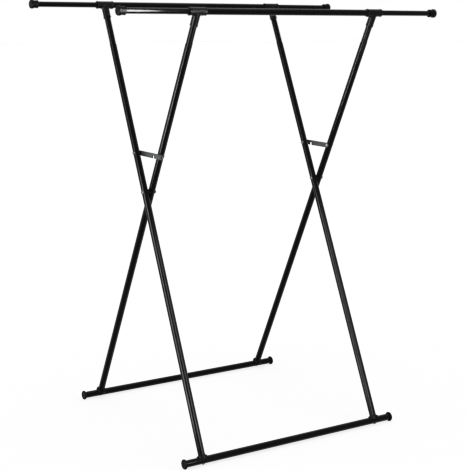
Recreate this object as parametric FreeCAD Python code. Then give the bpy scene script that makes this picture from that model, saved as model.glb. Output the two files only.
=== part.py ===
import FreeCAD, Part
import math
import os

V = FreeCAD.Vector

# Tube stock
TUBE_D = 22.0            # legs, foot bars and centre rails
TUBE_WALL = 1.0
ROD_PLAY = 0.5           # radial room between an end rod and the rail it slides in
ROD_WALL = 1.0

# Rounded edges
WALL_ROUND = 0.9         # largest rounding, as a share of the wall or step that it ends
ENDS_ROUND = 0.45        # largest rounding of both ends, as a share of the length
HEAD_ROUND = 0.75        # rounding of a bolt, rivet or screw head, as a share of its height

# Frames, measured between tube axes
LEG_SPACING = 739.0      # between the two legs of one frame
FOOT_ARM = 931.0         # pivot to foot bar, along the leg
TOP_ARM_A = 713.0        # pivot to top rail, along the leg; frame A stands a little higher
TOP_ARM_B = 693.0
OPENING = 50.0           # degrees between the two frames when locked open
FOOT_REACH = 74.0        # leg axis to the outer end of a foot cap
ROD_REACH = 292.0        # leg axis to the outer end of a rod cap, pulled out

# Foot caps, plugged into the ends of the foot bars
FOOT_CAP_WALL = 5.0      # rim beyond the face of the tube
FOOT_CAP_LEN = 6.5       # rim along the bar
FOOT_CAP_PLUG = 18.0     # part inside the tube
FOOT_CAP_ROUND = 2.8
FOOT_FLAT = 0.5          # depth of the flat on which a cap stands

# Saddles between leg and foot bar, with a plug in the leg and a bolt from below
SADDLE_FLOOR = 3.0       # between the bar and the end of the leg
SADDLE_SOCKET = 3.0      # depth in which the leg sits
SADDLE_WALL = 1.6
SADDLE_SLOPE = 1.4       # extra radius at the foot of the socket's wall
SADDLE_FLARE = 6.5       # extra radius of the brim over the leg
SADDLE_BRIM = 3.5        # height of the brim over the bar
SADDLE_WRAP = 8.0        # how far the saddle reaches down the side of the bar
SADDLE_ROUND = 1.2
PLUG_LEN = 30.0
FOOT_BOLT_D = 6.0
FOOT_BOLT_HEAD_D = 10.0
FOOT_BOLT_HEAD_H = 2.5
FOOT_BOLT_BITE = 20.0    # thread inside the plug

# Tees that join the legs to the top rails and guide the end rods
TEE_LEN = 64.0
TEE_WALL = 2.2
TEE_SEAT = 22.0          # depth in which the centre rail sits
TEE_LIP = 0.8
TEE_LIP_LEN = 4.0
STEM_REACH = 51.0        # rail axis to the lower end of the stem
STEM_WALL = 2.0
STEM_PROUD = 0.13        # radius of the stem over that of the sleeve, at the rail
STEM_FILLET = 6.0        # where the stem grows out of the sleeve
TEE_WEB = 3.0            # between the rail and the end of the leg
SCREW_D = 4.0
SCREW_HEAD_D = 7.0
SCREW_HEAD_H = 2.0
SCREW_EDGE = 1.0         # between a lip and the head of a screw
SCREW_TIP = 1.0          # tip of a leg screw past the wall of the leg
SCREW_BACK = 0.2         # tip of a rail screw short of the bore

# Caps and guides of the end rods
CAP_SLEEVE_WALL = 4.1
CAP_RING_WALL = 6.3
CAP_LEN = 27.5
CAP_RING_LEN = 12.0
CAP_END = 6.0            # solid end beyond the rod
CAP_LIP = 0.6
CAP_LIP_LEN = 3.0
CAP_ROUND = 4.5
GUIDE_LEN = 12.0         # collar that runs in the rail
GUIDE_PLUG_LEN = 18.0    # part of the guide inside the rod
RUN_FIT = 0.05           # radial running clearance
STOP_GAP = 0.2           # between a guide and the tee that stops it

# Pivots where the legs cross
PIVOT_D = 6.0
PIVOT_HEAD_D = 10.0
PIVOT_HEAD_H = 2.2
PIVOT_WASHER_D = 18.0    # between the legs
NUT_WASHER_D = 12.5
PIVOT_PLAY = 0.2         # axial room between the two frames
WASHER_LIFT = 0.8        # outer washer, beyond the face of the tube
NUT_FLATS = 10.0
NUT_H = 3.2
BOLT_TAIL = 0.6          # bolt beyond the nut

# Latch bars that hold the frames open
LATCH_ARM = 145.0        # pivot to latch rivet and to catch pin, along the leg
LATCH_H = 16.0
LATCH_T = 2.0
LATCH_PLAY = 0.15        # axial room beside the bar
LIFT_RATIO = 2.5         # degrees that the bar lifts for one degree of folding
RIVET_D = 5.0
RIVET_HEAD_D = 10.0
RIVET_HEAD_H = 2.0
RIVET_BACK_D = 9.0
RIVET_BACK_H = 0.55
RIVET_CLEAR = 0.3        # between the rivet and the opposite leg
LATCH_WASHER_D = 13.0
CATCH_D = 6.0
CATCH_PLAY = 0.3         # room for the catch pin in the notch
CATCH_SHORT = 0.6        # end of the catch pin short of the opposite leg
NOTCH_FLARE = 0.8        # extra half width of the notch at the bar's edge
SPARE_STEP = 24.5        # from the catch pin to the middle of the wide notch, towards the rivet
SPARE_W = 12.5
SPARE_DEPTH = 10.0
SPARE_ROUND = 2.5
RING_REACH = 28.0        # catch pin to the middle of the finger ring
RING_D = 18.0
RING_HOLE_D = 11.0

# Worked out from the sizes above
TUBE_BORE = TUBE_D - 2 * TUBE_WALL
ROD_D = TUBE_BORE - 2 * ROD_PLAY
ROD_BORE = ROD_D - 2 * ROD_WALL
HALF = math.radians(OPENING / 2)
LEG_GAP = LATCH_T + 2 * (LATCH_PLAY + RIVET_BACK_H + RIVET_CLEAR)    # between crossing legs
OFFSET = (TUBE_D + LEG_GAP) / 2
FOOT_CAP_D = TUBE_D + 2 * FOOT_CAP_WALL
FOOT_AXIS_Z = FOOT_CAP_D / 2 - FOOT_FLAT
PIVOT_Z = FOOT_AXIS_Z + FOOT_ARM * math.cos(HALF)
SHOULDER = TEE_SEAT - TEE_LEN / 2    # end of the centre rail, outwards from the leg axis
SCREW_INSET = TEE_LIP_LEN + SCREW_EDGE + SCREW_HEAD_D / 2            # from the end of a socket
LATCH_LEN = 2 * LATCH_ARM * math.sin(HALF)
FRAMES = {"a": -1, "b": 1}
SIDES = {"left": -1, "right": 1}
TOP_ARM = {"a": TOP_ARM_A, "b": TOP_ARM_B}


def leg_x(frame, side):
    return SIDES[side] * LEG_SPACING / 2 + FRAMES[frame] * OFFSET


def along_x(diameter, x0, x1, z=0.0):
    """Round bar along X."""
    return Part.makeCylinder(diameter / 2, abs(x1 - x0), V(min(x0, x1), 0, z), V(1, 0, 0))


def along_y(diameter, x, y0, y1, z):
    """Round bar along Y."""
    return Part.makeCylinder(diameter / 2, y1 - y0, V(x, y0, z), V(0, 1, 0))


def along_z(diameter, x, z0, z1):
    """Round bar along Z."""
    return Part.makeCylinder(diameter / 2, z1 - z0, V(x, 0, z0), V(0, 0, 1))


def inner_bar(diameter, frame, x, near, far, z):
    """Round bar along Y on the side of a frame's top that faces the other frame."""
    if frame == "a":
        return along_y(diameter, x, -far, -near, z)
    return along_y(diameter, x, near, far, z)


def soften(shape, radius, ends):
    """Round the circular edges of a plain bar at the given ends, each a point on its axis."""
    edges = []
    for edge in shape.Edges:
        if isinstance(edge.Curve, Part.Circle):
            if any(edge.Curve.Center.distanceToPoint(end) < 1e-6 for end in ends):
                edges.append(edge)
    return shape.makeFillet(radius, edges)


def outwards(shape, side, x, z):
    """Move a piece that was made pointing along +X to its side of the frame."""
    piece = shape.copy()
    if side == "left":
        piece.rotate(V(0, 0, 0), V(0, 0, 1), 180)
    piece.translate(V(x, 0, z))
    return piece


def stand(shape, frame):
    """Lean a piece of an upright frame, made around its pivot, to its place in the rack."""
    piece = shape.copy()
    piece.rotate(V(0, 0, 0), V(1, 0, 0), FRAMES[frame] * OPENING / 2)
    piece.translate(V(0, 0, PIVOT_Z))
    return piece


def half_turn(shape):
    """The same piece on the opposite corner of the rack."""
    piece = shape.copy()
    piece.rotate(V(0, 0, 0), V(0, 0, 1), 180)
    return piece


def save(node, shape):
    shape.exportStep("parts/" + node + ".step")


def foot_bar(frame):
    ends = [leg_x(frame, side) + SIDES[side] * (FOOT_REACH - FOOT_CAP_LEN) for side in SIDES]
    bar = along_x(TUBE_D, ends[0], ends[1], -FOOT_ARM)
    bar = bar.cut(along_x(TUBE_BORE, ends[0], ends[1], -FOOT_ARM))
    for side in SIDES:
        hole = along_z(FOOT_BOLT_D, leg_x(frame, side), -FOOT_ARM - TUBE_D, -FOOT_ARM + TUBE_D)
        bar = bar.cut(hole)
    return stand(bar, frame)


def foot_cap(frame, side):
    inner = FOOT_REACH - FOOT_CAP_LEN
    cap = along_x(FOOT_CAP_D, inner, FOOT_REACH)
    radius = min(FOOT_CAP_ROUND, WALL_ROUND * FOOT_CAP_WALL, ENDS_ROUND * FOOT_CAP_LEN)
    cap = soften(cap, radius, [V(inner, 0, 0), V(FOOT_REACH, 0, 0)])
    cap = cap.fuse(along_x(TUBE_BORE, inner - FOOT_CAP_PLUG, inner)).removeSplitter()
    cap = stand(outwards(cap, side, leg_x(frame, side), -FOOT_ARM), frame)
    box = cap.BoundBox
    floor = Part.makeBox(box.XLength, box.YLength, FOOT_CAP_D, V(box.XMin, box.YMin, -FOOT_CAP_D))
    return cap.cut(floor)


def foot_saddle(frame, side):
    x = leg_x(frame, side)
    crown = -FOOT_ARM + TUBE_D / 2
    low = crown - SADDLE_WRAP
    brim = crown + SADDLE_BRIM
    top = crown + SADDLE_FLOOR + SADDLE_SOCKET
    skirt = along_z(TUBE_D + 2 * SADDLE_FLARE, x, low, brim)
    skirt = soften(skirt, SADDLE_ROUND, [V(x, 0, brim)])
    wall_r = TUBE_D / 2 + SADDLE_WALL
    neck = Part.makeCone(wall_r + SADDLE_SLOPE, wall_r, top - brim, V(x, 0, brim))
    neck = soften(neck, min(SADDLE_ROUND, ENDS_ROUND * SADDLE_WALL), [V(x, 0, top)])
    saddle = skirt.fuse(neck).removeSplitter()
    saddle = saddle.cut(along_x(TUBE_D, x - TUBE_D - SADDLE_FLARE, x + TUBE_D + SADDLE_FLARE, -FOOT_ARM))
    saddle = saddle.cut(along_z(TUBE_D, x, crown + SADDLE_FLOOR, top))
    saddle = saddle.cut(along_z(FOOT_BOLT_D, x, low, crown + SADDLE_FLOOR))
    return stand(saddle, frame)


def leg_plugs(frame):
    plugs = []
    for side in SIDES:
        low = -FOOT_ARM + TUBE_D / 2 + SADDLE_FLOOR
        plug = along_z(TUBE_BORE, leg_x(frame, side), low, low + PLUG_LEN)
        plug = plug.cut(along_z(FOOT_BOLT_D, leg_x(frame, side), low, low + PLUG_LEN))
        plugs.append(stand(plug, frame))
    return Part.makeCompound(plugs)


def foot_bolts(frame):
    bolts = []
    for side in SIDES:
        x = leg_x(frame, side)
        under = -FOOT_ARM - TUBE_D / 2
        tip = -FOOT_ARM + TUBE_D / 2 + SADDLE_FLOOR + min(FOOT_BOLT_BITE, PLUG_LEN)
        head = along_z(FOOT_BOLT_HEAD_D, x, under - FOOT_BOLT_HEAD_H, -FOOT_ARM)
        head = soften(head, HEAD_ROUND * FOOT_BOLT_HEAD_H, [V(x, 0, under - FOOT_BOLT_HEAD_H)])
        head = head.cut(along_x(TUBE_D, x - FOOT_BOLT_HEAD_D, x + FOOT_BOLT_HEAD_D, -FOOT_ARM))
        bolt = head.fuse(along_z(FOOT_BOLT_D, x, under - FOOT_BOLT_HEAD_H, tip)).removeSplitter()
        bolts.append(stand(bolt, frame))
    return Part.makeCompound(bolts)


def leg(frame, side):
    x = leg_x(frame, side)
    low = -FOOT_ARM + TUBE_D / 2 + SADDLE_FLOOR
    high = TOP_ARM[frame] - TUBE_D / 2 - TEE_WEB
    tube = along_z(TUBE_D, x, low, high).cut(along_z(TUBE_BORE, x, low, high))
    pivot_hole = PIVOT_D if frame == "a" else PIVOT_D + 2 * RUN_FIT
    rivet_leg = (frame, side) in (("a", "left"), ("b", "right"))
    latch_hole = RIVET_D if rivet_leg else CATCH_D
    tube = tube.cut(along_x(pivot_hole, x - TUBE_D, x + TUBE_D))
    tube = tube.cut(along_x(latch_hole, x - TUBE_D, x + TUBE_D, LATCH_ARM))
    screw_z = TOP_ARM[frame] - STEM_REACH + SCREW_INSET
    tube = tube.cut(inner_bar(SCREW_D, frame, x, 0, TUBE_D, screw_z))
    return stand(tube, frame)


def stem_radius(height):
    """Outer radius of a tee's stem at a height above its lower end."""
    low = TUBE_D / 2 + STEM_WALL
    high = TUBE_D / 2 + TEE_WALL + STEM_PROUD
    return low + (high - low) * height / STEM_REACH


def tee(frame, side):
    half = TEE_LEN / 2
    outer = TUBE_D + 2 * TEE_WALL
    sleeve = along_x(outer, -half, half)
    stem = Part.makeCone(stem_radius(0), stem_radius(STEM_REACH), STEM_REACH, V(0, 0, -STEM_REACH))
    body = sleeve.fuse(stem)
    seams = [edge for edge in body.Edges if isinstance(edge.Curve, Part.BSplineCurve)]
    body = body.makeFillet(STEM_FILLET, seams)
    for end in (-half, half - TEE_LIP_LEN):
        lip = along_x(outer + 2 * TEE_LIP, end, end + TEE_LIP_LEN)
        body = body.fuse(soften(lip, WALL_ROUND * TEE_LIP, [V(end, 0, 0), V(end + TEE_LIP_LEN, 0, 0)]))
    stem_lip = along_z(2 * (stem_radius(0) + TEE_LIP), 0, -STEM_REACH, -STEM_REACH + TEE_LIP_LEN)
    lip_ends = [V(0, 0, -STEM_REACH), V(0, 0, -STEM_REACH + TEE_LIP_LEN)]
    body = body.fuse(soften(stem_lip, WALL_ROUND * TEE_LIP, lip_ends)).removeSplitter()
    body = body.cut(along_x(TUBE_D, -half, SHOULDER))
    body = body.cut(along_x(ROD_D + 2 * RUN_FIT, SHOULDER, half))
    body = body.cut(along_z(TUBE_D, 0, -STEM_REACH, -TUBE_D / 2 - TEE_WEB))
    body = body.cut(along_z(SCREW_D, -half + SCREW_INSET, -outer, 0))
    body = outwards(body, side, leg_x(frame, side), TOP_ARM[frame])
    screw_z = TOP_ARM[frame] - STEM_REACH + SCREW_INSET
    body = body.cut(inner_bar(SCREW_D, frame, leg_x(frame, side), 0, TUBE_D, screw_z))
    return stand(body, frame)


def tee_screws(frame):
    """Two screws a tee: one into the leg, one into the centre rail."""
    screws = []
    seat = TUBE_D / 2 + TEE_WALL
    stem_seat = stem_radius(SCREW_INSET + SCREW_HEAD_D / 2)
    for side in SIDES:
        x = leg_x(frame, side)
        leg_z = TOP_ARM[frame] - STEM_REACH + SCREW_INSET
        shank = inner_bar(SCREW_D, frame, x, TUBE_BORE / 2 - SCREW_TIP, stem_seat, leg_z)
        head = inner_bar(SCREW_HEAD_D, frame, x, stem_seat, stem_seat + SCREW_HEAD_H, leg_z)
        crown = V(x, FRAMES[frame] * (stem_seat + SCREW_HEAD_H), leg_z)
        head = soften(head, HEAD_ROUND * SCREW_HEAD_H, [crown])
        screws.append(stand(shank.fuse(head).removeSplitter(), frame))
        rail_x = x + SIDES[side] * (SCREW_INSET - TEE_LEN / 2)
        top = TOP_ARM[frame] - TUBE_BORE / 2 - SCREW_BACK
        shank = along_z(SCREW_D, rail_x, TOP_ARM[frame] - seat, top)
        crown = TOP_ARM[frame] - seat - SCREW_HEAD_H
        head = along_z(SCREW_HEAD_D, rail_x, crown, TOP_ARM[frame] - seat)
        head = soften(head, HEAD_ROUND * SCREW_HEAD_H, [V(rail_x, 0, crown)])
        screws.append(stand(shank.fuse(head).removeSplitter(), frame))
    return Part.makeCompound(screws)


def top_rail(frame):
    ends = [leg_x(frame, side) + SIDES[side] * SHOULDER for side in SIDES]
    rail = along_x(TUBE_D, ends[0], ends[1], TOP_ARM[frame])
    rail = rail.cut(along_x(TUBE_BORE, ends[0], ends[1], TOP_ARM[frame]))
    for side in SIDES:
        x = leg_x(frame, side) + SIDES[side] * (SCREW_INSET - TEE_LEN / 2)
        rail = rail.cut(along_z(SCREW_D, x, TOP_ARM[frame] - TUBE_D, TOP_ARM[frame]))
    return stand(rail, frame)


def rod(frame, side):
    inner = SHOULDER - STOP_GAP
    end = ROD_REACH - CAP_END
    tube = along_x(ROD_D, inner, end).cut(along_x(ROD_BORE, inner, end))
    return stand(outwards(tube, side, leg_x(frame, side), TOP_ARM[frame]), frame)


def rod_guide(frame, side):
    """Collar on the inner end of a rod: it runs in the rail and stops at the tee."""
    inner = SHOULDER - STOP_GAP
    collar = along_x(TUBE_BORE - 2 * RUN_FIT, inner - GUIDE_LEN, inner)
    guide = collar.fuse(along_x(ROD_BORE, inner, inner + GUIDE_PLUG_LEN)).removeSplitter()
    return stand(outwards(guide, side, leg_x(frame, side), TOP_ARM[frame]), frame)


def rod_cap(frame, side):
    inner = ROD_REACH - CAP_LEN
    ring_start = ROD_REACH - CAP_RING_LEN
    sleeve_d = ROD_D + 2 * CAP_SLEEVE_WALL
    sleeve = along_x(sleeve_d, inner, ring_start)
    lip = along_x(sleeve_d + 2 * CAP_LIP, inner, inner + CAP_LIP_LEN)
    lip = soften(lip, WALL_ROUND * CAP_LIP, [V(inner, 0, 0), V(inner + CAP_LIP_LEN, 0, 0)])
    ring = along_x(ROD_D + 2 * CAP_RING_WALL, ring_start, ROD_REACH)
    ring = soften(ring, min(CAP_ROUND, ENDS_ROUND * CAP_RING_LEN), [V(ring_start, 0, 0), V(ROD_REACH, 0, 0)])
    cap = sleeve.fuse(lip).fuse(ring).fuse(along_x(ROD_D, ring_start, ROD_REACH)).removeSplitter()
    cap = cap.cut(along_x(ROD_D, inner, ROD_REACH - CAP_END))
    return stand(outwards(cap, side, leg_x(frame, side), TOP_ARM[frame]), frame)


def seated(pad, frame, side, z, diameter):
    """Cut a pad so that it sits on the round face of a leg."""
    return pad.cut(along_z(TUBE_D, leg_x(frame, side), z - diameter, z + diameter))


def formed(diameter, frame, side, x0, x1, z):
    """Round pad along X whose seat follows the leg."""
    pad = along_x(diameter, x0, x1, z)
    return seated(pad, frame, side, z, diameter)


def formed_head(diameter, height, frame, side, direction, z):
    """Rounded head on the face of a leg that looks along -X or +X."""
    x = leg_x(frame, side)
    crown = x + direction * (TUBE_D / 2 + height)
    head = soften(along_x(diameter, x, crown, z), HEAD_ROUND * height, [V(crown, 0, z)])
    return seated(head, frame, side, z, diameter)


def pivot_bolts():
    bolts = []
    for side in SIDES:
        face = leg_x("a", side) - TUBE_D / 2
        end = leg_x("b", side) + TUBE_D / 2 + WASHER_LIFT + PIVOT_PLAY + NUT_H + BOLT_TAIL
        head = formed_head(PIVOT_HEAD_D, PIVOT_HEAD_H, "a", side, -1, 0)
        shank = along_x(PIVOT_D, face - PIVOT_HEAD_H, end)
        bolts.append(stand(head.fuse(shank).removeSplitter(), "a"))
    return Part.makeCompound(bolts)


def pivot_washers(frame):
    """Formed washers: one between the legs and, on frame B, one under the nut."""
    washers = []
    for side in SIDES:
        x = leg_x(frame, side)
        middle = SIDES[side] * LEG_SPACING / 2
        inner = formed(PIVOT_WASHER_D, frame, side, middle + FRAMES[frame] * PIVOT_PLAY / 2, x, 0)
        hole = PIVOT_D if frame == "a" else PIVOT_D + 2 * RUN_FIT
        bore = along_x(hole, x - TUBE_D, x + TUBE_D)
        washers.append(stand(inner.cut(bore), frame))
        if frame == "b":
            outer = formed(NUT_WASHER_D, frame, side, x, x + TUBE_D / 2 + WASHER_LIFT, 0)
            washers.append(stand(outer.cut(bore), frame))
    return Part.makeCompound(washers)


def pivot_nuts():
    nuts = []
    corner = NUT_FLATS / math.sqrt(3)
    for side in SIDES:
        x = leg_x("b", side) + TUBE_D / 2 + WASHER_LIFT + PIVOT_PLAY
        turns = [math.radians(60 * i) for i in range(7)]
        ring = [V(x, corner * math.cos(turn), corner * math.sin(turn)) for turn in turns]
        nut = Part.Face(Part.makePolygon(ring)).extrude(V(NUT_H, 0, 0))
        nuts.append(stand(nut.cut(along_x(PIVOT_D, x, x + NUT_H)), "a"))
    return Part.makeCompound(nuts)


def latch_plane():
    """X of the middle of the left latch bar, halfway between the crossing legs."""
    return -LEG_SPACING / 2


def latch_rivet():
    """Rivet of the left latch, through frame A's leg and the bar."""
    face = leg_x("a", "left") - TUBE_D / 2
    back = latch_plane() + LATCH_T / 2 + LATCH_PLAY
    head = formed_head(RIVET_HEAD_D, RIVET_HEAD_H, "a", "left", -1, LATCH_ARM)
    shank = along_x(RIVET_D, face - RIVET_HEAD_H, back + RIVET_BACK_H, LATCH_ARM)
    closing = along_x(RIVET_BACK_D, back, back + RIVET_BACK_H, LATCH_ARM)
    return stand(head.fuse(shank).fuse(closing).removeSplitter(), "a")


def latch_washer():
    """Formed washer between frame A's leg and the left latch bar."""
    x = leg_x("a", "left")
    front = latch_plane() - LATCH_T / 2 - LATCH_PLAY
    washer = formed(LATCH_WASHER_D, "a", "left", x, front, LATCH_ARM)
    return stand(washer.cut(along_x(RIVET_D, x, front, LATCH_ARM)), "a")


def catch_pin():
    """Pin through frame B's left leg that the left latch hooks over."""
    x = leg_x("b", "left")
    face = x + TUBE_D / 2
    tip = leg_x("a", "left") + TUBE_D / 2 + CATCH_SHORT
    head = formed_head(RIVET_HEAD_D, RIVET_HEAD_H, "b", "left", 1, LATCH_ARM)
    shank = along_x(CATCH_D, tip, face + RIVET_HEAD_H, LATCH_ARM)
    return stand(head.fuse(shank).removeSplitter(), "b")


def notch(reach, thickness):
    """Slot from the seat of the catch pin to the lower edge, along the way the pin leaves."""
    slant = math.atan2(LATCH_ARM * math.cos(HALF), LATCH_LEN * (LIFT_RATIO - 0.5))
    seat = CATCH_D / 2 + CATCH_PLAY
    mouth = seat + 2 * NOTCH_FLARE
    depth = LATCH_H / math.cos(slant)    # the slot runs twice the way to the edge, so it clears it
    way = V(0, -math.sin(slant), -math.cos(slant))
    side = V(0, math.cos(slant), -math.sin(slant))
    start = V(0, reach, 0)
    end = start + way * depth
    corners = [start + side * seat, start - side * seat, end - side * mouth, end + side * mouth]
    slot = Part.Face(Part.makePolygon(corners + corners[:1])).extrude(V(thickness, 0, 0))
    return slot.fuse(Part.makeCylinder(seat, thickness, start, V(1, 0, 0)))


def wide_notch(reach, thickness):
    """Upright notch with rounded corners in the lower edge, where the pin rests with the frames closer."""
    base = V(0, reach - SPARE_W / 2, -1.5 * LATCH_H)
    slot = Part.makeBox(thickness, SPARE_W, LATCH_H + SPARE_DEPTH, base)
    upper = [edge for edge in slot.Edges if edge.CenterOfMass.z > -LATCH_H / 2]
    corners = [edge for edge in upper if edge.BoundBox.XLength > thickness / 2]
    return slot.makeFillet(SPARE_ROUND, corners)


def latch_bar():
    """Left latch: a flat bar from frame A's rivet, hooked over frame B's pin, with a finger ring."""
    ring = LATCH_LEN + RING_REACH
    bar = Part.makeBox(LATCH_T, ring, LATCH_H, V(0, 0, -LATCH_H / 2))
    for diameter, reach in ((LATCH_H, 0), (RING_D, ring)):
        bar = bar.fuse(Part.makeCylinder(diameter / 2, LATCH_T, V(0, reach, 0), V(1, 0, 0)))
    bar = bar.removeSplitter()
    for diameter, reach in ((RIVET_D + 2 * RUN_FIT, 0), (RING_HOLE_D, ring)):
        bar = bar.cut(Part.makeCylinder(diameter / 2, LATCH_T, V(0, reach, 0), V(1, 0, 0)))
    bar = bar.cut(notch(LATCH_LEN, LATCH_T))
    bar = bar.cut(wide_notch(LATCH_LEN - SPARE_STEP, LATCH_T))
    bar.translate(V(-LATCH_T / 2, 0, 0))
    bar.rotate(V(0, 0, 0), V(0, 0, 1), 180)
    height = PIVOT_Z + LATCH_ARM * math.cos(HALF)
    bar.translate(V(latch_plane(), LATCH_LEN / 2, height))
    return bar


def main():
    os.makedirs("parts", exist_ok=True)
    for frame in FRAMES:
        save("foot_bar_" + frame, foot_bar(frame))
        save("leg_plugs_" + frame, leg_plugs(frame))
        save("foot_bolts_" + frame, foot_bolts(frame))
        save("top_rail_" + frame, top_rail(frame))
        save("tee_screws_" + frame, tee_screws(frame))
        save("pivot_washers_" + frame, pivot_washers(frame))
        for side in SIDES:
            place = frame + "_" + side
            save("foot_cap_" + place, foot_cap(frame, side))
            save("foot_saddle_" + place, foot_saddle(frame, side))
            save("leg_" + place, leg(frame, side))
            save("tee_" + place, tee(frame, side))
            save("rod_" + place, rod(frame, side))
            save("rod_guide_" + place, rod_guide(frame, side))
            save("rod_cap_" + place, rod_cap(frame, side))
    save("pivot_bolts", pivot_bolts())
    save("pivot_nuts", pivot_nuts())
    left = {"latch_rivet": latch_rivet(), "latch_washer": latch_washer(),
            "catch_pin": catch_pin(), "latch_bar": latch_bar()}
    for node, shape in left.items():
        save(node + "_left", shape)
        save(node + "_right", half_turn(shape))


main()
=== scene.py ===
import math
import bpy
import bmesh
from mathutils import Matrix, Vector


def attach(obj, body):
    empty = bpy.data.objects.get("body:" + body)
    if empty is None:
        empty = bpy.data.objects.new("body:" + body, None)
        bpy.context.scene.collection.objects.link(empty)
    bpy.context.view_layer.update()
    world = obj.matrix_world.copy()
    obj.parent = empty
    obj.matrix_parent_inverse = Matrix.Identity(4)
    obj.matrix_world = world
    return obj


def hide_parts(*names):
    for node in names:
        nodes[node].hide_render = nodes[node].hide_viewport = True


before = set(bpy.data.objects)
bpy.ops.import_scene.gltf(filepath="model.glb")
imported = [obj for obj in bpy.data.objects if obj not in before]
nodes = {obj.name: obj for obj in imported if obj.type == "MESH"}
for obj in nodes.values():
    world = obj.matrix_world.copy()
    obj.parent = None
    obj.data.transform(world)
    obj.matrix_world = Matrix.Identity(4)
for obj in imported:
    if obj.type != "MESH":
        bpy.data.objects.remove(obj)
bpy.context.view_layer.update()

# Sizes of the rack in millimetres
MM = 0.001
TUBE_D = 22.0
TUBE_WALL = 1.0
ROD_D = 19.0
ROD_WALL = 1.0
LEG_SPACING = 739.0
OFFSET = 13.0             # of each frame's legs from the middle of the crossing
FOOT_ARM = 931.0          # from the pivot down to the foot bar
TOP_ARM = {"a": 713.0, "b": 693.0}    # from the pivot up to the rail
FOOT_AXIS_Z = 15.5
LEAN = math.radians(25.0)
PIVOT_Z = FOOT_AXIS_Z + FOOT_ARM * math.cos(LEAN)
FRAMES = {"a": -1, "b": 1}
SIDES = {"left": -1, "right": 1}

# Ends of the tubes, from the axis of the leg or of the bar that carries them
LEG_LOW = -FOOT_ARM + 14.0
LEG_TOP_GAP = 14.0
FOOT_TUBE_END = 67.5
RAIL_END = -10.0
ROD_START = -10.2
ROD_END = 286.0
TUBE_EDGE = 0.3

# Foot caps
FOOT_CAP_END = 74.0
FOOT_CAP_R = 16.0
FOOT_CAP_ROUND = 2.8
FOOT_DISH_R = 10.4
FOOT_DISH_DEPTH = 0.5
FOOT_PLUG_START = 49.5    # the plug sits inside the tube
FOOT_PLUG_ROUND = 0.8
FOOT_PLUG_GAP = 0.05      # between the plug and the tube's wall

# Rod caps
ROD_CAP_START = 264.5
ROD_CAP_RING = 280.4
ROD_CAP_END = 292.0
SLEEVE_R = 13.6
SLEEVE_EDGE = 0.3
SLEEVE_LIP_R = 14.2
SLEEVE_LIP_LEN = 3.0
SLEEVE_LIP_ROUND = 0.5
SLEEVE_LIP_ROOT = 0.2
RING_R = 15.8
RING_ROUND = 4.5
RING_BACK_ROUND = 2.0
ROD_DISH_R = 9.4
ROD_DISH_DEPTH = 0.8

# Dish in the end of either cap, with the stub of the moulding's gate in its middle
DISH_SLOPE = 0.8
DISH_EDGE = 0.3
STUB_R = 1.6
STUB_SLOPE = 0.3
STUB_H = 0.3
STUB_EDGE = 0.1

# Latch bars
LATCH_EDGE = 0.3
LATCH_MERGE = 1e-3
LATCH_FLAT = math.radians(1)

# Fasteners
STEM_SCREW_Y = 13.1       # seat of the screw on the stem of a tee
STEM_SCREW_DROP = 42.5    # below the rail
RAIL_SCREW_INSET = 23.5   # from the leg, towards the middle of the rail
RAIL_SCREW_DROP = 13.2
SCREW_R = 3.5
SCREW_H = 2.0
SCREW_ROUND = 1.5
SCREW_SHANK_R = 2.0
SCREW_SHANK_END = -3.0
CROSS_HALF = 0.45         # half the width of an arm of the recess
CROSS_DEPTH = 1.0
FOOT_BOLT_R = 5.0
FOOT_BOLT_H = 2.5
FOOT_BOLT_ROUND = 1.9
FOOT_BOLT_SHANK_R = 3.0
FOOT_BOLT_SHANK_END = -6.0
SOCKET_HALF = 2.0         # half the width across the socket's flats
SOCKET_DEPTH = 1.4
SHANK_ROUND = 0.4
HEAD_LAND = 0.15          # flat edge round the top of a head
NUT_FLATS = 10.0
NUT_H = 3.2
NUT_EDGE = 0.35
NUT_X = 12.0              # from the axis of the leg to the seat of the nut
COLLAR_H = 1.0
COLLAR_ROOT = 0.5         # depth of the collar inside the hexagon
COLLAR_R = NUT_FLATS / 2 - 0.3
COLLAR_ROUND = 0.9
COLLAR_BORE_R = 3.0
COLLAR_BORE_EDGE = 0.2

# Fineness of the shapes
ROUND_STEPS = 72          # faces round a tube or cap
EDGE_STEPS = 6            # faces across a rounded edge of a turned piece
EASED_STEPS = 2           # faces across an eased edge of a flat piece
SMOOTH_BELOW = math.radians(32)
SAME_POINT = 1e-4
SLIVER = 1e-5
SQUARE = 0.99             # part of a face's normal along an axis that makes it square to that axis
DOWNWARDS = Matrix.Rotation(math.pi, 4, "X")


def leg_x(name, side):
    """Place of a leg's axis along the rack."""
    return SIDES[side] * LEG_SPACING / 2 + FRAMES[name] * OFFSET


def leaning(name):
    """Places a piece that was made round the pivot of an upright frame."""
    return Matrix.Translation((0, 0, PIVOT_Z)) @ Matrix.Rotation(FRAMES[name] * LEAN, 4, "X")


def outwards(name, side, height):
    """Places a piece that was made along +X from the axis of a leg."""
    turn = Matrix.Rotation(math.pi, 4, "Z") if side == "left" else Matrix.Identity(4)
    return leaning(name) @ Matrix.Translation((leg_x(name, side), 0, height)) @ turn


def clean(shape):
    """Merges points that meet, drops slivers and turns all faces outwards."""
    bmesh.ops.remove_doubles(shape, verts=shape.verts, dist=SAME_POINT)
    bmesh.ops.dissolve_degenerate(shape, edges=shape.edges, dist=SLIVER)
    bmesh.ops.recalc_face_normals(shape, faces=shape.faces)


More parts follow.
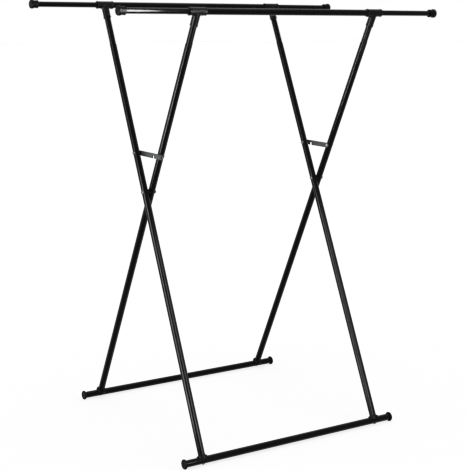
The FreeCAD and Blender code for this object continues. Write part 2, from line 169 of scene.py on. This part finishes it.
def turned(outline, axis="X", closed=True):
    """Turns an outline of (along, radius, rounding) about X or Z."""
    shape = bmesh.new()
    points = []
    for along, radius, _ in outline:
        place = (along, 0, radius) if axis == "X" else (radius, 0, along)
        points.append(shape.verts.new(place))
    pairs = list(zip(points, points[1:]))
    if closed:
        pairs.append((points[-1], points[0]))
    for pair in pairs:
        shape.edges.new(pair)
    for point, (_, _, rounding) in zip(points, outline):
        if rounding:
            bmesh.ops.bevel(shape, geom=[point], offset=rounding, segments=EDGE_STEPS, profile=0.5,
                            affect="VERTICES", material=-1)
    line = list(shape.verts) + list(shape.edges)
    way = (1, 0, 0) if axis == "X" else (0, 0, 1)
    bmesh.ops.spin(shape, geom=line, cent=(0, 0, 0), axis=way, angle=2 * math.pi,
                   steps=ROUND_STEPS, use_merge=True)
    clean(shape)
    return shape


def tube(start, end, diameter, wall, axis="X"):
    """Tube with its edges eased."""
    outer = diameter / 2
    inner = outer - wall
    return turned([(start, outer, TUBE_EDGE), (end, outer, TUBE_EDGE),
                   (end, inner, TUBE_EDGE), (start, inner, TUBE_EDGE)], axis)


def moved(shape, place):
    bmesh.ops.transform(shape, matrix=place, verts=shape.verts)
    return shape


def drawn_out(shape, faces, height):
    """Moves faces along Z and walls the way they went."""
    grown = bmesh.ops.extrude_face_region(shape, geom=faces)["geom"]
    points = [item for item in grown if isinstance(item, bmesh.types.BMVert)]
    bmesh.ops.translate(shape, vec=(0, 0, height), verts=points)


def joined(shapes):
    """Puts several shapes into one."""
    whole = bmesh.new()
    for shape in shapes:
        part = bpy.data.meshes.new("part")
        shape.to_mesh(part)
        shape.free()
        whole.from_mesh(part)
        bpy.data.meshes.remove(part)
    return whole


def finish_piece(shape, title, finish, body, replaced):
    """Makes an object of a shape in millimetres and lets it stand for CAD nodes."""
    bmesh.ops.scale(shape, vec=(MM, MM, MM), verts=shape.verts)
    for edge in shape.edges:
        edge.smooth = len(edge.link_faces) == 2 and edge.calc_face_angle() < SMOOTH_BELOW
    for face in shape.faces:
        face.smooth = True
    mesh = bpy.data.meshes.new(title)
    shape.to_mesh(mesh)
    shape.free()
    mesh.materials.append(finish)
    piece = bpy.data.objects.new(title, mesh)
    bpy.context.scene.collection.objects.link(piece)
    even = piece.modifiers.new("even shading", "WEIGHTED_NORMAL")
    even.keep_sharp = True
    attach(piece, body)
    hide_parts(*replaced)
    return piece


# Finishes, with lengths in metres

NOISE_MIDDLE = (0.3, 0.7)             # where most of a noise lies
ENAMEL_SHADES = ((0.0012, 0.0012, 0.0014), (0.0032, 0.0032, 0.0035))
MOULDING_SHADES = ((0.003, 0.003, 0.0033), (0.006, 0.006, 0.0064))
PARTING_HALF = 0.00018                # half the width of the mould's parting line
SPANGLE_SCALE = 260
DRAWN_STRETCH = (1, 0.04, 1)


def new_finish(title):
    finish = bpy.data.materials.new(title)
    finish.use_nodes = True
    tree = finish.node_tree
    shader = tree.nodes["Principled BSDF"]
    place = tree.nodes.new("ShaderNodeTexCoord").outputs["Object"]
    return finish, tree, shader, place


def noise(tree, place, scale, detail):
    texture = tree.nodes.new("ShaderNodeTexNoise")
    texture.inputs["Scale"].default_value = scale
    texture.inputs["Detail"].default_value = detail
    tree.links.new(place, texture.inputs["Vector"])
    return texture.outputs["Fac"]


def spread(tree, source, span):
    """Maps the middle of a noise to a span of values."""
    ramp = tree.nodes.new("ShaderNodeMapRange")
    ramp.inputs["From Min"].default_value, ramp.inputs["From Max"].default_value = NOISE_MIDDLE
    ramp.inputs["To Min"].default_value, ramp.inputs["To Max"].default_value = span
    tree.links.new(source, ramp.inputs["Value"])
    return ramp.outputs["Result"]


def tones(tree, source, shades):
    """Maps the middle of a noise to colours between two shades."""
    ramp = tree.nodes.new("ShaderNodeValToRGB")
    for stop, position, shade in zip(ramp.color_ramp.elements, NOISE_MIDDLE, shades):
        stop.position = position
        stop.color = (*shade, 1)
    tree.links.new(source, ramp.inputs["Fac"])
    return ramp.outputs["Color"]


def relief(tree, source, strength, distance, under=None):
    """Raises a surface by a pattern, on top of the relief under it."""
    bump = tree.nodes.new("ShaderNodeBump")
    bump.inputs["Strength"].default_value = strength
    bump.inputs["Distance"].default_value = distance
    tree.links.new(source, bump.inputs["Height"])
    if under:
        tree.links.new(under, bump.inputs["Normal"])
    return bump.outputs["Normal"]


def black_enamel(title, rough, specular):
    """Sprayed black enamel with a faint orange peel."""
    finish, tree, shader, place = new_finish(title)
    shader.inputs["Specular IOR Level"].default_value = specular
    cloud = noise(tree, place, scale=30, detail=3)
    tree.links.new(tones(tree, cloud, ENAMEL_SHADES), shader.inputs["Base Color"])
    haze = noise(tree, place, scale=18, detail=4)
    tree.links.new(spread(tree, haze, rough), shader.inputs["Roughness"])
    peel = noise(tree, place, scale=400, detail=2)
    tree.links.new(relief(tree, peel, strength=0.012, distance=0.0004), shader.inputs["Normal"])
    return finish


def black_moulding(title, name, rough, specular):
    """Black plastic with a fine grain and the parting line of its mould."""
    finish, tree, shader, place = new_finish(title)
    shader.inputs["Specular IOR Level"].default_value = specular
    cloud = noise(tree, place, scale=45, detail=3)
    tree.links.new(tones(tree, cloud, MOULDING_SHADES), shader.inputs["Base Color"])
    haze = noise(tree, place, scale=60, detail=3)
    tree.links.new(spread(tree, haze, rough), shader.inputs["Roughness"])
    grain = relief(tree, noise(tree, place, scale=2400, detail=2), strength=0.10, distance=0.0003)
    turn = tree.nodes.new("ShaderNodeMapping")
    upright = Matrix.Rotation(-FRAMES[name] * LEAN, 4, "X")
    turn.inputs["Rotation"].default_value = upright.to_euler()
    turn.inputs["Location"].default_value = -(upright @ Vector((0, 0, PIVOT_Z * MM)))
    tree.links.new(place, turn.inputs["Vector"])
    split = tree.nodes.new("ShaderNodeSeparateXYZ")
    tree.links.new(turn.outputs["Vector"], split.inputs["Vector"])
    line = tree.nodes.new("ShaderNodeMath")
    line.operation = "COMPARE"
    line.inputs[1].default_value = 0.0
    line.inputs[2].default_value = PARTING_HALF
    tree.links.new(split.outputs["Y"], line.inputs[0])
    parting = relief(tree, line.outputs["Value"], strength=0.5, distance=0.0001, under=grain)
    tree.links.new(parting, shader.inputs["Normal"])
    return finish


def plated_zinc(title, shades, rough):
    """Zinc plating with a faint spangle and drawn lines along Y."""
    finish, tree, shader, place = new_finish(title)
    shader.inputs["Metallic"].default_value = 1.0
    spangle = tree.nodes.new("ShaderNodeTexVoronoi")
    spangle.inputs["Scale"].default_value = SPANGLE_SCALE
    tree.links.new(place, spangle.inputs["Vector"])
    tree.links.new(tones(tree, spangle.outputs["Color"], shades), shader.inputs["Base Color"])
    stretch = tree.nodes.new("ShaderNodeMapping")
    stretch.inputs["Scale"].default_value = DRAWN_STRETCH
    tree.links.new(place, stretch.inputs["Vector"])
    drawn = noise(tree, stretch.outputs["Vector"], scale=1800, detail=3)
    tree.links.new(spread(tree, drawn, rough), shader.inputs["Roughness"])
    tree.links.new(relief(tree, drawn, strength=0.08, distance=0.0002), shader.inputs["Normal"])
    return finish


leg_enamel = black_enamel("black enamel", rough=(0.11, 0.15), specular=0.055)
rod_enamel = black_enamel("polished black enamel", rough=(0.09, 0.12), specular=0.06)
screw_black = black_enamel("black screw finish", rough=(0.30, 0.40), specular=0.15)
tee_moulding = {name: black_moulding("black tee moulding " + name, name, rough=(0.20, 0.28), specular=0.075)
                for name in FRAMES}
cap_moulding = {name: black_moulding("black cap moulding " + name, name, rough=(0.34, 0.44), specular=0.035)
                for name in FRAMES}
# Painted shade: this zinc's base colour is far darker than plating, standing in for dark surroundings
# reflected in it
zinc_darkened_as_shade = plated_zinc("zinc darkened as painted shade", ((0.053, 0.056, 0.059), (0.092, 0.095, 0.099)), rough=(0.28, 0.40))
# Painted shade: the pins' zinc is also darkened below plating, standing in for shade on the heads
pin_zinc_darkened_as_shade = plated_zinc("pin zinc darkened as painted shade", ((0.09, 0.094, 0.098), (0.14, 0.144, 0.15)), rough=(0.34, 0.46))
bright_zinc = plated_zinc("bright zinc", ((0.34, 0.35, 0.37), (0.48, 0.49, 0.51)), rough=(0.22, 0.32))


def node_finish(node):
    """Finish of a CAD node, from what its name says it is."""
    name = "b" if "_b_" in node + "_" or node == "latch_washer_right" else "a"
    if node.startswith(("tee_a", "tee_b")):
        return tee_moulding[name]
    if node.startswith(("foot_saddle", "foot_cap", "rod_cap", "rod_guide", "leg_plugs", "pivot_washers",
                        "latch_washer")):
        return cap_moulding[name]
    if node.startswith("rod_"):
        return rod_enamel
    if node.startswith(("leg_", "foot_bar", "top_rail")):
        return leg_enamel
    # Pivot bolts and catch pins take zinc darkened by painted shade
    if node.startswith(("pivot_bolts", "catch_pin")):
        return pin_zinc_darkened_as_shade
    # The left latch rivet takes the zinc darkened by painted shade; the other plated parts take bright zinc
    return zinc_darkened_as_shade if node == "latch_rivet_left" else bright_zinc


for node, held in nodes.items():
    held.data.materials.clear()
    held.data.materials.append(node_finish(node))


# Tubes

long_bars = bpy.data.collections.new("long bars")


def frame_tubes(name):
    """Foot bar, rail, legs and pull-out rods of a frame."""
    body = "frame_" + name
    for title, node, reach, height in (("foot_tube_", "foot_bar_", FOOT_TUBE_END, -FOOT_ARM),
                                       ("rail_tube_", "top_rail_", RAIL_END, TOP_ARM[name])):
        bar = tube(leg_x(name, "left") - reach, leg_x(name, "right") + reach, TUBE_D, TUBE_WALL)
        moved(bar, leaning(name) @ Matrix.Translation((0, 0, height)))
        piece = finish_piece(bar, title + name, leg_enamel, body, [node + name])
        long_bars.objects.link(piece)
    for side in SIDES:
        place = name + "_" + side
        leg = tube(LEG_LOW, TOP_ARM[name] - LEG_TOP_GAP, TUBE_D, TUBE_WALL, "Z")
        moved(leg, leaning(name) @ Matrix.Translation((leg_x(name, side), 0, 0)))
        finish_piece(leg, "leg_tube_" + place, leg_enamel, body, ["leg_" + place])
        rod = moved(tube(ROD_START, ROD_END, ROD_D, ROD_WALL), outwards(name, side, TOP_ARM[name]))
        piece = finish_piece(rod, "rod_tube_" + place, rod_enamel, "end_rod_" + place,
                             ["rod_" + place])
        long_bars.objects.link(piece)


# Caps

def dish(end, rim_r, depth):
    """Outline of the shallow dish in a cap's end."""
    floor = end - depth
    return [(end, rim_r, DISH_EDGE), (floor, rim_r - DISH_SLOPE, DISH_EDGE), (floor, STUB_R, STUB_EDGE),
            (floor + STUB_H, STUB_R - STUB_SLOPE, STUB_EDGE), (floor + STUB_H, 0, 0)]


def foot_cap(name, side):
    """Round rim on a plug in the end of a foot bar, with a shallow dish and a flat to stand on."""
    plug_r = TUBE_D / 2 - TUBE_WALL - FOOT_PLUG_GAP
    cap = turned([(FOOT_PLUG_START, 0, 0), (FOOT_PLUG_START, plug_r, FOOT_PLUG_ROUND),
                  (FOOT_TUBE_END, plug_r, 0), (FOOT_TUBE_END, FOOT_CAP_R, FOOT_CAP_ROUND),
                  (FOOT_CAP_END, FOOT_CAP_R, FOOT_CAP_ROUND),
                  *dish(FOOT_CAP_END, FOOT_DISH_R, FOOT_DISH_DEPTH)], closed=False)
    moved(cap, outwards(name, side, -FOOT_ARM))
    everything = list(cap.verts) + list(cap.edges) + list(cap.faces)
    cut = bmesh.ops.bisect_plane(cap, geom=everything, dist=SAME_POINT, plane_co=(0, 0, 0),
                                 plane_no=(0, 0, 1), clear_inner=True)
    rim = [item for item in cut["geom_cut"] if isinstance(item, bmesh.types.BMEdge)]
    bmesh.ops.holes_fill(cap, edges=rim, sides=0)
    clean(cap)
    place = name + "_" + side
    finish_piece(cap, "foot_end_" + place, cap_moulding[name], "frame_" + name,
                 ["foot_cap_" + place])


def rod_cap(name, side):
    """Two-step cap on the outer end of a rod: sleeve with a lip, and a round knob."""
    rod_r = ROD_D / 2
    lip_end = ROD_CAP_START + SLEEVE_LIP_LEN
    cap = turned([(ROD_CAP_START, rod_r, 0), (ROD_CAP_START, SLEEVE_LIP_R, SLEEVE_LIP_ROUND),
                  (lip_end, SLEEVE_LIP_R, SLEEVE_EDGE), (lip_end, SLEEVE_R, SLEEVE_LIP_ROOT),
                  (ROD_CAP_RING, SLEEVE_R, SLEEVE_EDGE), (ROD_CAP_RING, RING_R, RING_BACK_ROUND),
                  (ROD_CAP_END, RING_R, RING_ROUND), *dish(ROD_CAP_END, ROD_DISH_R, ROD_DISH_DEPTH),
                  (ROD_END, 0, 0), (ROD_END, rod_r, 0)])
    moved(cap, outwards(name, side, TOP_ARM[name]))
    place = name + "_" + side
    finish_piece(cap, "rod_knob_" + place, cap_moulding[name], "end_rod_" + place,
                 ["rod_cap_" + place])


# Latch bars

def latch_bar(side):
    """Latch bar with its edges eased."""
    node = "latch_bar_" + side
    bar = bmesh.new()
    bar.from_mesh(nodes[node].data)
    bmesh.ops.scale(bar, vec=(1 / MM, 1 / MM, 1 / MM), verts=bar.verts)
    bmesh.ops.remove_doubles(bar, verts=bar.verts, dist=LATCH_MERGE)
    bmesh.ops.dissolve_limit(bar, angle_limit=LATCH_FLAT, verts=bar.verts, edges=bar.edges)
    flats = [face for face in bar.faces if abs(face.normal.x) > SQUARE]
    rims = list({edge for face in flats for edge in face.edges})
    bmesh.ops.bevel(bar, geom=rims, offset=LATCH_EDGE, segments=EASED_STEPS, profile=0.5, affect="EDGES",
                    material=-1, clamp_overlap=True)
    clean(bar)
    finish_piece(bar, "latch_" + side, zinc_darkened_as_shade, "latch_" + side, [node])


# Fasteners

def recessed(radius, height, rounding, shank_r, shank_end, planes):
    """Screw along +Z with its seat at 0, and the faces of its top, parted along its drive.

    The planes that part them are given as (x, y, distance).
    """
    screw = turned([(height, 0, 0), (height, radius, rounding), (0, radius, 0), (0, shank_r, 0),
                    (shank_end, shank_r, SHANK_ROUND), (shank_end, 0, 0)], "Z", closed=False)
    crown = [face for face in screw.faces
             if face.normal.z > SQUARE and face.calc_center_median().z > height - 1e-3]
    top = bmesh.ops.dissolve_faces(screw, faces=crown)["region"][0]
    bmesh.ops.inset_region(screw, faces=[top], thickness=HEAD_LAND, depth=0)
    drive = [top]
    for x, y, distance in planes:
        edges = {edge for face in drive for edge in face.edges}
        verts = {vert for face in drive for vert in face.verts}
        cut = bmesh.ops.bisect_plane(screw, geom=drive + list(edges) + list(verts), dist=SAME_POINT,
                                     plane_co=(x * distance, y * distance, 0), plane_no=(x, y, 0))
        drive = [item for item in cut["geom"] if isinstance(item, bmesh.types.BMFace)]
    return screw, drive


def sunk(screw, faces, depth):
    """Sinks a drive into the head of a screw."""
    drawn_out(screw, faces, -depth)
    clean(screw)
    return screw


def cross_screw():
    """Pan head screw with a cross recess."""
    planes = [(x, y, CROSS_HALF) for x, y in ((1, 0), (-1, 0), (0, 1), (0, -1))]
    screw, drive = recessed(SCREW_R, SCREW_H, SCREW_ROUND, SCREW_SHANK_R, SCREW_SHANK_END, planes)
    arms = []
    for face in drive:
        middle = face.calc_center_median()
        if abs(middle.x) < CROSS_HALF or abs(middle.y) < CROSS_HALF:
            arms.append(face)
    return sunk(screw, arms, CROSS_DEPTH)


def socket_bolt():
    """Button head bolt with a hexagon socket."""
    turns = [math.radians(60 * i) for i in range(6)]
    planes = [(math.cos(turn), math.sin(turn), SOCKET_HALF) for turn in turns]
    bolt, drive = recessed(FOOT_BOLT_R, FOOT_BOLT_H, FOOT_BOLT_ROUND, FOOT_BOLT_SHANK_R,
                           FOOT_BOLT_SHANK_END, planes)
    socket = [min(drive, key=lambda face: face.calc_center_median().xy.length)]
    return sunk(bolt, socket, SOCKET_DEPTH)


def lock_nut():
    """Hexagon nut along +Z with a rounded collar."""
    hexagon_h = NUT_H - COLLAR_H
    nut = bmesh.new()
    ring = bmesh.ops.create_circle(nut, segments=6, radius=NUT_FLATS / math.sqrt(3), cap_ends=True)
    bmesh.ops.rotate(nut, verts=ring["verts"], cent=(0, 0, 0), matrix=Matrix.Rotation(math.pi / 6, 3, "Z"))
    drawn_out(nut, list(nut.faces), hexagon_h)
    rims = [edge for edge in nut.edges if abs(edge.verts[0].co.z - edge.verts[1].co.z) < 1e-6]
    bmesh.ops.bevel(nut, geom=rims, offset=NUT_EDGE, segments=EASED_STEPS, profile=0.5, affect="EDGES",
                    material=-1)
    clean(nut)
    collar_start = hexagon_h - COLLAR_ROOT
    collar = turned([(collar_start, COLLAR_BORE_R, 0), (collar_start, COLLAR_R, 0),
                     (NUT_H, COLLAR_R, COLLAR_ROUND), (NUT_H, COLLAR_BORE_R, COLLAR_BORE_EDGE)], "Z")
    return joined([nut, collar])


def tee_screws(name):
    """One screw through each stem into the leg, one through each sleeve into the rail."""
    screws = []
    inwards = Matrix.Rotation(-FRAMES[name] * math.pi / 2, 4, "X")
    for side in SIDES:
        x = leg_x(name, side)
        seat = Matrix.Translation((x, FRAMES[name] * STEM_SCREW_Y, TOP_ARM[name] - STEM_SCREW_DROP))
        screws.append(moved(cross_screw(), leaning(name) @ seat @ inwards))
        inner_x = x - SIDES[side] * RAIL_SCREW_INSET
        seat = Matrix.Translation((inner_x, 0, TOP_ARM[name] - RAIL_SCREW_DROP))
        screws.append(moved(cross_screw(), leaning(name) @ seat @ DOWNWARDS))
    finish_piece(joined(screws), "cross_screws_" + name, screw_black, "frame_" + name,
                 ["tee_screws_" + name])


def foot_bolts(name):
    """One bolt through the foot bar into the plug of each leg."""
    bolts = []
    for side in SIDES:
        seat = Matrix.Translation((leg_x(name, side), 0, -FOOT_ARM - TUBE_D / 2))
        bolts.append(moved(socket_bolt(), leaning(name) @ seat @ DOWNWARDS))
    finish_piece(joined(bolts), "socket_bolts_" + name, zinc_darkened_as_shade, "frame_" + name,
                 ["foot_bolts_" + name])


def lock_nuts():
    """One nut on the end of each pivot bolt."""
    nuts = []
    sideways = Matrix.Rotation(math.pi / 2, 4, "Y")
    for side in SIDES:
        seat = Matrix.Translation((leg_x("b", side) + NUT_X, 0, 0))
        nuts.append(moved(lock_nut(), leaning("a") @ seat @ sideways))
    finish_piece(joined(nuts), "lock_nuts", zinc_darkened_as_shade, "frame_a", ["pivot_nuts"])


for name in FRAMES:
    frame_tubes(name)
    for side in SIDES:
        foot_cap(name, side)
        rod_cap(name, side)
    tee_screws(name)
    foot_bolts(name)
for side in SIDES:
    latch_bar(side)
lock_nuts()


# Floor, light and camera, in metres

FLOOR_HALF = 40
FLOOR_TONE = 0.27
FLOOR_GLOW = 0.78         # of the floor as it is seen
WORLD_FILL = 0.5          # light that the studio gives
WORLD_SEEN = 1.0          # white that is seen of it
WHITE = (1, 1, 1, 1)


def seen(tree):
    """1 for what the camera, a reflection or a clear material looks at, else 0."""
    path = tree.nodes.new("ShaderNodeLightPath")
    total = path.outputs["Is Camera Ray"]
    for name in ("Is Glossy Ray", "Is Transmission Ray"):
        most = tree.nodes.new("ShaderNodeMath")
        most.operation = "MAXIMUM"
        tree.links.new(total, most.inputs[0])
        tree.links.new(path.outputs[name], most.inputs[1])
        total = most.outputs["Value"]
    return total


def white_floor():
    """Pale floor that shows the camera the white studio with the rack's shadow on it."""
    finish = bpy.data.materials.new("white floor")
    finish.use_nodes = True
    tree = finish.node_tree
    shader = tree.nodes["Principled BSDF"]
    shader.inputs["Base Color"].default_value = (FLOOR_TONE, FLOOR_TONE, FLOOR_TONE, 1)
    shader.inputs["Roughness"].default_value = 0.9
    shader.inputs["Specular IOR Level"].default_value = 0.0
    shader.inputs["Emission Color"].default_value = WHITE
    glow = tree.nodes.new("ShaderNodeMath")
    glow.operation = "MULTIPLY"
    glow.inputs[1].default_value = FLOOR_GLOW
    tree.links.new(seen(tree), glow.inputs[0])
    tree.links.new(glow.outputs["Value"], shader.inputs["Emission Strength"])
    ground = bmesh.new()
    bmesh.ops.create_grid(ground, x_segments=1, y_segments=1, size=FLOOR_HALF)
    mesh = bpy.data.meshes.new("floor")
    ground.to_mesh(mesh)
    ground.free()
    mesh.materials.append(finish)
    floor = bpy.data.objects.new("floor", mesh)
    bpy.context.scene.collection.objects.link(floor)
    floor.is_shadow_catcher = True


def white_world():
    """White studio that looks brighter than the light it gives."""
    world = bpy.data.worlds.new("white studio")
    bpy.context.scene.world = world
    world.use_nodes = True
    tree = world.node_tree
    level = tree.nodes.new("ShaderNodeMapRange")
    level.inputs["To Min"].default_value = WORLD_FILL
    level.inputs["To Max"].default_value = WORLD_SEEN
    tree.links.new(seen(tree), level.inputs["Value"])
    back = tree.nodes["Background"]
    back.inputs["Color"].default_value = WHITE
    tree.links.new(level.outputs["Result"], back.inputs["Strength"])


def soft_light(title, place, aim, size, power, tilt=0.0, shine_only=True, receivers=None):
    """Rectangular lamp; one that is shine_only makes streaks on the tubes but doesn't light the floor."""
    lamp = bpy.data.lights.new(title, "AREA")
    lamp.shape = "RECTANGLE"
    lamp.size, lamp.size_y = size
    lamp.energy = power
    light = bpy.data.objects.new(title, lamp)
    light.visible_camera = False
    light.visible_diffuse = not shine_only
    light.location = place
    turn = (Vector(aim) - Vector(place)).to_track_quat("-Z", "Y").to_matrix()
    light.rotation_euler = (turn @ Matrix.Rotation(tilt, 3, "Z")).to_euler()
    if receivers:
        light.light_linking.receiver_collection = receivers
    bpy.context.scene.collection.objects.link(light)


def photo_camera():
    """Camera that stands where the photograph was taken."""
    lens = bpy.data.cameras.new("camera")
    lens.sensor_width = 36.0
    lens.lens = 88.80
    lens.shift_x = 0.0521
    lens.shift_y = -0.1266
    lens.clip_end = 60.0
    camera = bpy.data.objects.new("camera", lens)
    camera.location = (-2.34863, -3.48869, 1.49555)
    yaw, pitch, roll = (math.radians(angle) for angle in (32.67, -8.18, 0.61))
    level = Matrix.Rotation(-yaw, 3, "Z") @ Matrix.Rotation(math.pi / 2 + pitch, 3, "X")
    camera.rotation_euler = (level @ Matrix.Rotation(roll, 3, "Z")).to_euler()
    bpy.context.scene.collection.objects.link(camera)
    bpy.context.scene.camera = camera


white_floor()
white_world()

# The left strips leave out the long bars, which would turn white where they are seen along their length;
# the rod card lights only the near left rod with its cap and tee
for item in long_bars.collection_objects:
    item.light_linking.link_state = "EXCLUDE"
near_rod = bpy.data.collections.new("near left rod")
for title in ("rod_tube_b_left", "rod_knob_b_left"):
    near_rod.objects.link(bpy.data.objects[title])
near_rod.objects.link(nodes["tee_b_left"])

soft_light("overhead softbox", (0, 0, 4.2), aim=(0, 0, 0), size=(4.0, 4.0), power=60, shine_only=False)
soft_light("front strip", (-0.1, -2.0, 1.475), aim=(-0.1, 0, 1.475), size=(0.6, 1.25), power=85)
soft_light("rod card", (-0.0925, -1.2, 1.487), aim=(-0.0925, 0, 1.487), size=(0.215, 1.2), power=130,
           receivers=near_rod)
soft_light("foot card", (-0.06, -1.2, 0.40), aim=(-0.06, -0.393, 0.0155), size=(0.29, 0.3), power=7.7)
soft_light("left strip", (-3.0, -0.42, 1.0), aim=(0, -0.42, 1.0), size=(0.65, 1.5), power=228, tilt=LEAN,
           receivers=long_bars)
soft_light("upper left strip", (-3.0, 0.1, 2.2), aim=(0, 0.1, 2.2), size=(0.5, 1.1), power=42, tilt=LEAN,
           receivers=long_bars)
soft_light("low left strip", (-2.95, 0.1, 0.02), aim=(-2.95, 0.1, 1), size=(1.7, 0.7), power=285,
           receivers=long_bars)
photo_camera()
bpy.context.scene.view_settings.view_transform = "Standard"
